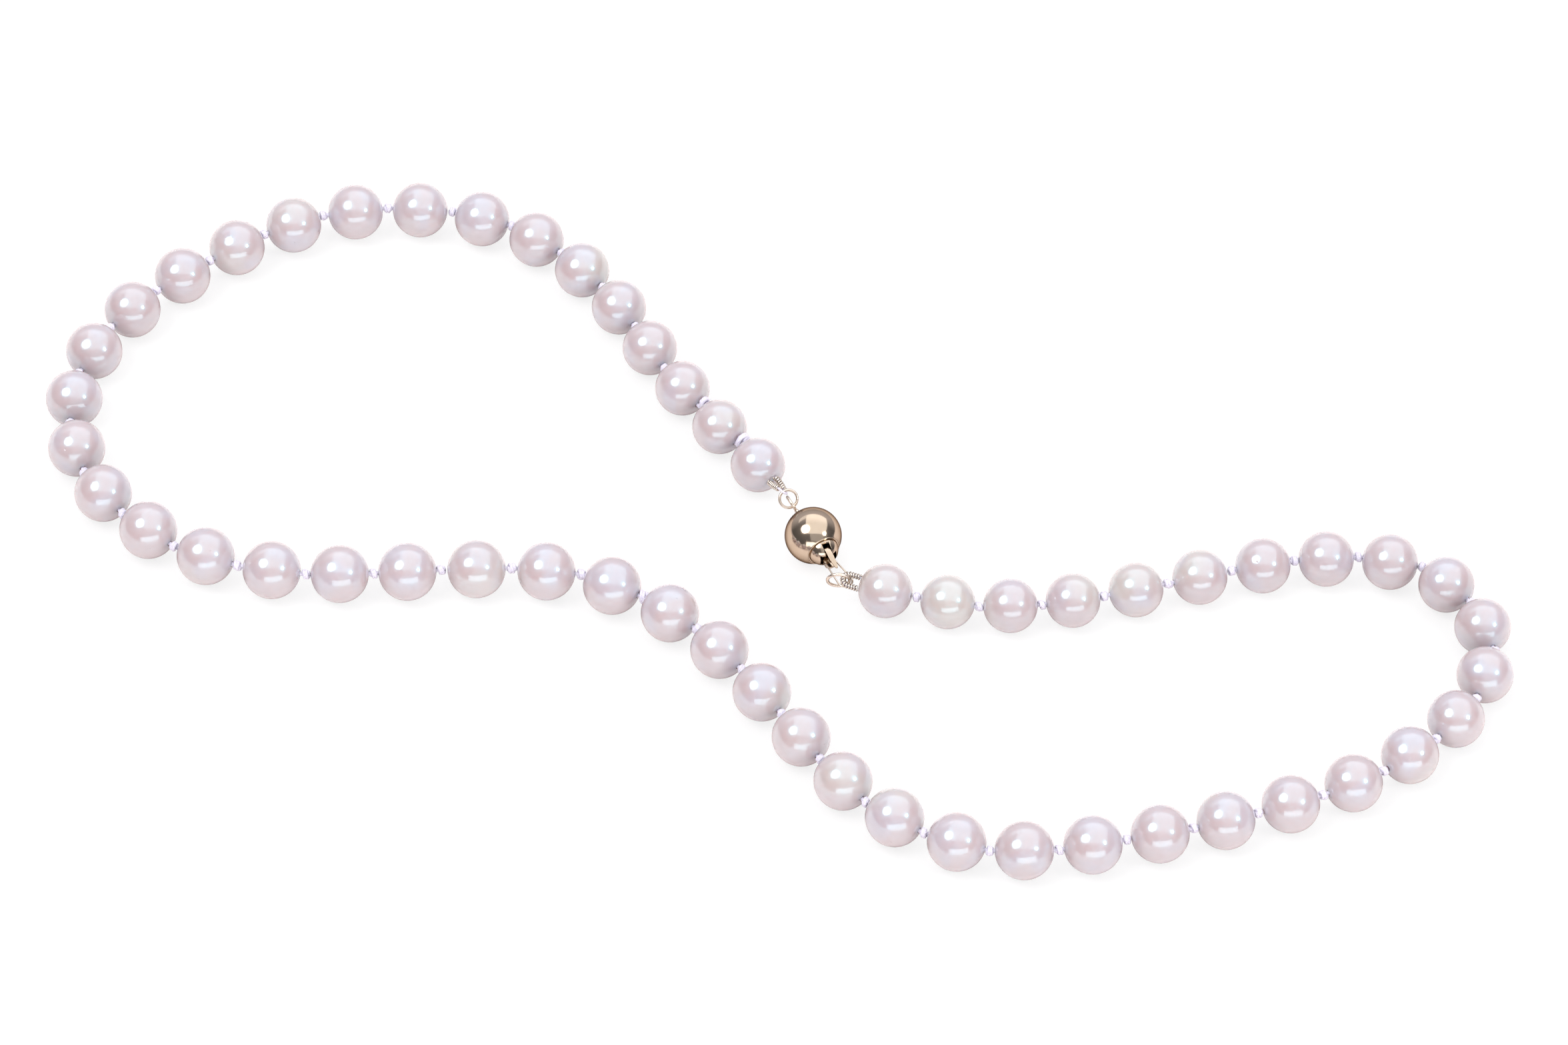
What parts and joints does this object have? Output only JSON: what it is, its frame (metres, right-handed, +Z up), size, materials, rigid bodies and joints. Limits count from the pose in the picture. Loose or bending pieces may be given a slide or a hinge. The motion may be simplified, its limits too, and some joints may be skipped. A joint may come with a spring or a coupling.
{
  "type": "pearl necklace",
  "caption": "Knotted strand of graduated round pearls lying in two lobes, closed by a small ball clasp with a spring tongue.",
  "frame": {"origin": "on the table, under the middle of the lying necklace's outline", "axes": "+X along the length of the lying figure, towards the lobe at the tongue's end; +Y away from the wearer's side, over the lobe at the ball's end; +Z up from the table"},
  "size_m": [0.1896, 0.116, 0.0075],
  "materials": {
    "nacre": "high lustre nacre with rose overtone",
    "silk": "plied filament silk",
    "clasp": "polished champagne gold plate",
    "bullion": "bright wound wire"
  },
  "bodies": {
    "middle": {"pearls_26_27": "nacre", "silk_26_27": "silk"},
    "left_24_25": {"pearls_24_25": "nacre", "silk_24_25": "silk"},
    "left_22_23": {"pearls_22_23": "nacre", "silk_22_23": "silk"},
    "left_20_21": {"pearls_20_21": "nacre", "silk_20_21": "silk"},
    "left_13_19": {"pearls_13_19": "nacre", "silk_13_19": "silk"},
    "left_11_12": {"pearls_11_12": "nacre", "silk_11_12": "silk"},
    "left_09_10": {"pearls_09_10": "nacre", "silk_09_10": "silk"},
    "left_06_08": {"pearls_06_08": "nacre", "silk_06_08": "silk"},
    "left_end": {"pearls_01_05": "nacre", "silk_01_05": "silk", "silk_loop_a": "silk", "bullion_a": "bullion"},
    "right_28_31": {"pearls_28_31": "nacre", "silk_28_31": "silk"},
    "right_32_35": {"pearls_32_35": "nacre", "silk_32_35": "silk"},
    "right_36_37": {"pearls_36_37": "nacre", "silk_36_37": "silk"},
    "right_38_39": {"pearls_38_39": "nacre", "silk_38_39": "silk"},
    "right_40_44": {"pearls_40_44": "nacre", "silk_40_44": "silk"},
    "right_45_47": {"pearls_45_47": "nacre", "silk_45_47": "silk"},
    "right_48_49": {"pearls_48_49": "nacre", "silk_48_49": "silk"},
    "right_50_52": {"pearls_50_52": "nacre", "silk_50_52": "silk"},
    "right_end": {"pearl_53": "nacre", "silk_53": "silk", "silk_loop_b": "silk", "bullion_b": "bullion"},
    "ball": {"ball_shell": "clasp", "ball_mouth": "clasp", "ball_eye": "clasp"},
    "ring_at_ball": {"ring_a": "clasp"},
    "ring_at_tongue": {"ring_b": "clasp"},
    "tongue": {"tongue_base": "clasp", "bail": "clasp"},
    "lever": {"tongue_spring": "clasp"}
  },
  "joints": [
    {"name": "left_sway_wide", "type": "hinge", "parent": "middle", "child": "left_24_25", "pos_m": [-0.02393, -0.00989, 0.00374], "axis": [0, 0, 1], "range_deg": [-8, 8]},
    {"name": "left_sway_near", "type": "hinge", "parent": "left_24_25", "child": "left_22_23", "pos_m": [-0.04191, -0.00939, 0.00374], "axis": [0, 0, 1], "range_deg": [-12, 12]},
    {"name": "left_bend_21", "type": "hinge", "parent": "left_22_23", "child": "left_20_21", "pos_m": [-0.05919, -0.01039, 0.00374], "axis": [0, 0, 1], "range_deg": [-12, 12]},
    {"name": "left_bend_19", "type": "hinge", "parent": "left_20_21", "child": "left_13_19", "pos_m": [-0.07637, -0.0059, 0.00373], "axis": [0, 0, 1], "range_deg": [-8, 8]},
    {"name": "left_bend_12", "type": "hinge", "parent": "left_13_19", "child": "left_11_12", "pos_m": [-0.07488, 0.04454, 0.00369], "axis": [0, 0, 1], "range_deg": [-8, 8]},
    {"name": "left_bend_10", "type": "hinge", "parent": "left_11_12", "child": "left_09_10", "pos_m": [-0.06019, 0.05303, 0.00368], "axis": [0, 0, 1], "range_deg": [-12, 12]},
    {"name": "left_bend_08", "type": "hinge", "parent": "left_09_10", "child": "left_06_08", "pos_m": [-0.04291, 0.05403, 0.00366], "axis": [0, 0, 1], "range_deg": [-12, 12]},
    {"name": "left_bend_05", "type": "hinge", "parent": "left_06_08", "child": "left_end", "pos_m": [-0.02244, 0.04055, 0.00362], "axis": [0, 0, 1], "range_deg": [-8, 8]},
    {"name": "clasp_open", "type": "hinge", "parent": "middle", "child": "right_28_31", "pos_m": [-0.00895, -0.01888, 0.00374], "axis": [0, 0, -1], "range_deg": [0, 25]},
    {"name": "right_sway_wide", "type": "hinge", "parent": "right_28_31", "child": "right_32_35", "pos_m": [0.01252, -0.04685, 0.00372], "axis": [0, 0, 1], "range_deg": [-8, 8]},
    {"name": "right_sway_near", "type": "hinge", "parent": "right_32_35", "child": "right_36_37", "pos_m": [0.04498, -0.05234, 0.00369], "axis": [0, 0, 1], "range_deg": [-12, 12]},
    {"name": "right_bend_37", "type": "hinge", "parent": "right_36_37", "child": "right_38_39", "pos_m": [0.06147, -0.04785, 0.00368], "axis": [0, 0, 1], "range_deg": [-12, 12]},
    {"name": "right_bend_39", "type": "hinge", "parent": "right_38_39", "child": "right_40_44", "pos_m": [0.07745, -0.04086, 0.00366], "axis": [0, 0, 1], "range_deg": [-8, 8]},
    {"name": "right_bend_44", "type": "hinge", "parent": "right_40_44", "child": "right_45_47", "pos_m": [0.08394, -0.0069, 0.0036], "axis": [0, 0, 1], "range_deg": [-8, 8]},
    {"name": "right_bend_47", "type": "hinge", "parent": "right_45_47", "child": "right_48_49", "pos_m": [0.05947, -0.00789, 0.00355], "axis": [0, 0, 1], "range_deg": [-12, 12]},
    {"name": "right_bend_49", "type": "hinge", "parent": "right_48_49", "child": "right_50_52", "pos_m": [0.04299, -0.01239, 0.00352], "axis": [0, 0, 1], "range_deg": [-12, 12]},
    {"name": "right_bend_52", "type": "hinge", "parent": "right_50_52", "child": "right_end", "pos_m": [0.01902, -0.01289, 0.0035], "axis": [0, 0, 1], "range_deg": [-8, 8]},
    {"name": "ring_swivel", "type": "hinge", "parent": "right_end", "child": "ring_at_tongue", "pos_m": [0.01043, -0.01073, 0.00415], "axis": [0, 0, 1], "range_deg": [0, 20]},
    {"name": "clasp_roll", "type": "hinge", "parent": "left_end", "child": "ball", "pos_m": [0.00573, -0.0028, 0.0037], "axis": [0.4617, -0.887, 0], "range_deg": [-10, 4]},
    {"name": "tongue_roll", "type": "hinge", "parent": "ring_at_tongue", "child": "tongue", "pos_m": [0.00573, -0.0028, 0.0037], "axis": [0.4617, -0.887, 0], "range_deg": [-10, 4]},
    {"name": "ring_tilt", "type": "hinge", "parent": "left_end", "child": "ring_at_ball", "pos_m": [0.00249, 0.00336, 0.00378], "axis": [-0.5569, 0.6187, 0.5542], "range_deg": [-20, 20]},
    {"name": "lever_press", "type": "hinge", "parent": "tongue", "child": "lever", "pos_m": [0.00536, -0.00209, 0.00365], "axis": [0.887, 0.4617, 0], "range_deg": [-2.2, 3], "stiffness_Nm_per_rad": 0.05, "springref_deg": -2.2}
  ],
  "couplings": [
    {"joint": "left_bend_21", "follows": "left_sway_near", "ratio": -1},
    {"joint": "left_bend_19", "follows": "left_sway_wide", "ratio": -1},
    {"joint": "left_bend_12", "follows": "left_sway_wide", "ratio": 1},
    {"joint": "left_bend_10", "follows": "left_sway_near", "ratio": 1},
    {"joint": "left_bend_08", "follows": "left_sway_near", "ratio": -1},
    {"joint": "left_bend_05", "follows": "left_sway_wide", "ratio": -1},
    {"joint": "right_bend_37", "follows": "right_sway_near", "ratio": -1},
    {"joint": "right_bend_39", "follows": "right_sway_wide", "ratio": -1},
    {"joint": "right_bend_44", "follows": "right_sway_wide", "ratio": 1},
    {"joint": "right_bend_47", "follows": "right_sway_near", "ratio": 1},
    {"joint": "right_bend_49", "follows": "right_sway_near", "ratio": -1},
    {"joint": "right_bend_52", "follows": "right_sway_wide", "ratio": -1},
    {"joint": "ring_swivel", "follows": "clasp_open", "ratio": 0.8},
    {"joint": "tongue_roll", "follows": "clasp_roll", "ratio": 1}
  ]
}
